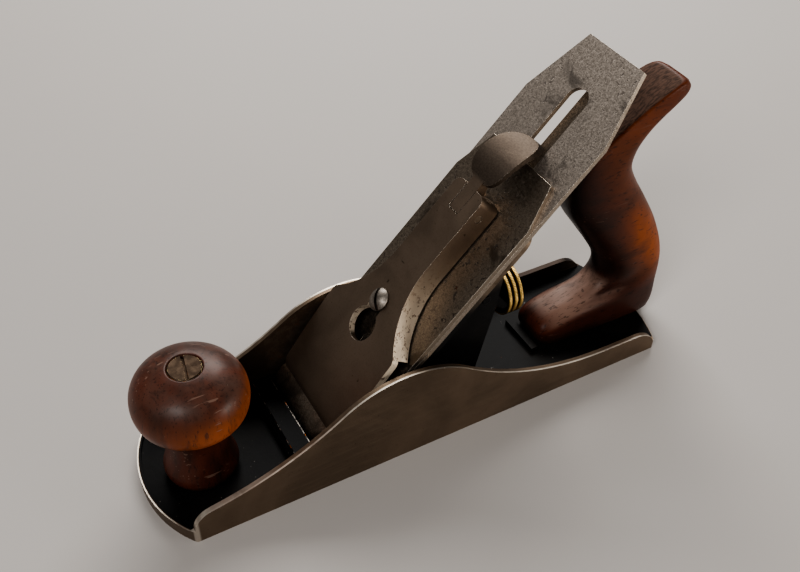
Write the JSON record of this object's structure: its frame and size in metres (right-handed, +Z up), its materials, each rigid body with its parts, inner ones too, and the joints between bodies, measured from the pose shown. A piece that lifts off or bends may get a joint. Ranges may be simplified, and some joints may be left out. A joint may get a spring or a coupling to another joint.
{
  "type": "hand plane",
  "caption": "Cast-iron smoothing plane with a screw-adjusted double iron on a sloping frog, a cam-locked lever cap, a brass depth nut, a round knob and a curved wooden tote.",
  "frame": {"origin": "centre of the plane's footprint box, on the plane that the sole rests on", "axes": "+X towards the heel, -X towards the toe, +Y towards the plane's right cheek, +Z up"},
  "size_m": [0.2447, 0.0604, 0.1414],
  "materials": {
    "body_iron": "satin ground cheeks and sole, worn black japanning inside",
    "frog_iron": "black japanning",
    "small_steel": "aged bright steel",
    "screw_steel": "polished by use",
    "spring_steel": "dull blued spring steel",
    "iron_steel": "mottled grey patina with pits",
    "cap_iron_steel": "brown-grey patina with pits",
    "lever_cap_iron": "smooth brown-grey satin",
    "depth_brass": "knurled, bright on the ridges",
    "nut_brass": "dark aged brass",
    "rosewood": "old glossy varnish over dark red-brown rosewood"
  },
  "bodies": {
    "body": {"plane_body": "body_iron", "frog_screws": "small_steel", "frog_washers": "small_steel", "tote": "rosewood", "tote_rod": "small_steel", "tote_nut": "nut_brass", "knob": "rosewood", "knob_rod": "small_steel", "knob_nut": "nut_brass"},
    "frog_body": {"frog": "frog_iron", "frog_adjust_plate": "small_steel", "frog_plate_screw": "small_steel", "y_lever_pin": "small_steel", "lateral_rivet": "small_steel", "lever_cap_screw": "screw_steel"},
    "adjust_screw": {"frog_adjust_screw": "small_steel"},
    "yoke": {"y_lever": "frog_iron"},
    "stud": {"depth_stud": "small_steel"},
    "nut": {"depth_nut": "depth_brass"},
    "lateral": {"lateral_lever": "small_steel"},
    "roller": {"lateral_roller": "small_steel"},
    "iron_screw": {"cap_iron_screw": "small_steel"},
    "irons": {"cutting_iron": "iron_steel", "cap_iron": "cap_iron_steel"},
    "cap": {"lever_cap": "lever_cap_iron", "lever_cap_spring": "spring_steel", "spring_rivet": "small_steel", "cam_pin": "small_steel"},
    "cam": {"cam_lever": "lever_cap_iron"}
  },
  "joints": [
    {"name": "frog_slide", "type": "slide", "parent": "body", "child": "frog_body", "axis": [1, 0, 0], "range_m": [0, 0.002]},
    {"name": "frog_adjust_screw_turn", "type": "hinge", "parent": "frog_body", "child": "adjust_screw", "pos_m": [0.02, 0, 0.0115], "axis": [1, 0, 0], "range_deg": [0, 901]},
    {"name": "depth_nut_travel", "type": "slide", "parent": "frog_body", "child": "stud", "axis": [1, 0, 0], "range_m": [-0.00222, 0.00072]},
    {"name": "depth_nut_turn", "type": "hinge", "parent": "stud", "child": "nut", "pos_m": [0.04, 0, 0.042], "axis": [-1, 0, 0], "range_deg": [-800, 260]},
    {"name": "y_lever_tilt", "type": "hinge", "parent": "frog_body", "child": "yoke", "pos_m": [0.022, 0, 0.056], "axis": [0, 1, 0], "range_deg": [-2.97, 9.11]},
    {"name": "cutter_depth", "type": "slide", "parent": "frog_body", "child": "iron_screw", "axis": [-0.7071, 0, -0.7071], "range_m": [-0.003, 0.00098]},
    {"name": "cutter_skew", "type": "hinge", "parent": "iron_screw", "child": "irons", "pos_m": [-0.01964, 0, 0.03535], "axis": [-0.7071, 0, 0.7071], "range_deg": [-1.9, 1.9]},
    {"name": "lateral_lever_swing", "type": "hinge", "parent": "frog_body", "child": "lateral", "pos_m": [0.02844, 0, 0.08344], "axis": [-0.7071, 0, 0.7071], "range_deg": [-8, 8]},
    {"name": "lateral_roller_spin", "type": "hinge", "parent": "lateral", "child": "roller", "pos_m": [0.01925, 0, 0.07425], "axis": [-0.7071, 0, 0.7071], "continuous": true},
    {"name": "lever_cap_slide", "type": "slide", "parent": "frog_body", "child": "cap", "axis": [0.7071, 0, 0.7071], "range_m": [0, 0.012]},
    {"name": "cam_lever_turn", "type": "hinge", "parent": "cap", "child": "cam", "pos_m": [0.02052, 0, 0.09178], "axis": [0, -1, 0], "range_deg": [0, 75]}
  ],
  "couplings": [
    {"joint": "frog_adjust_screw_turn", "follows": "frog_slide", "rad_per_m": 7854},
    {"joint": "depth_nut_turn", "follows": "depth_nut_travel", "rad_per_m": 6283.2},
    {"joint": "y_lever_tilt", "follows": "depth_nut_travel", "rad_per_m": -71.429},
    {"joint": "cutter_depth", "follows": "depth_nut_travel", "ratio": 1.3464},
    {"joint": "cutter_skew", "follows": "lateral_lever_swing", "ratio": -0.23636}
  ]
}
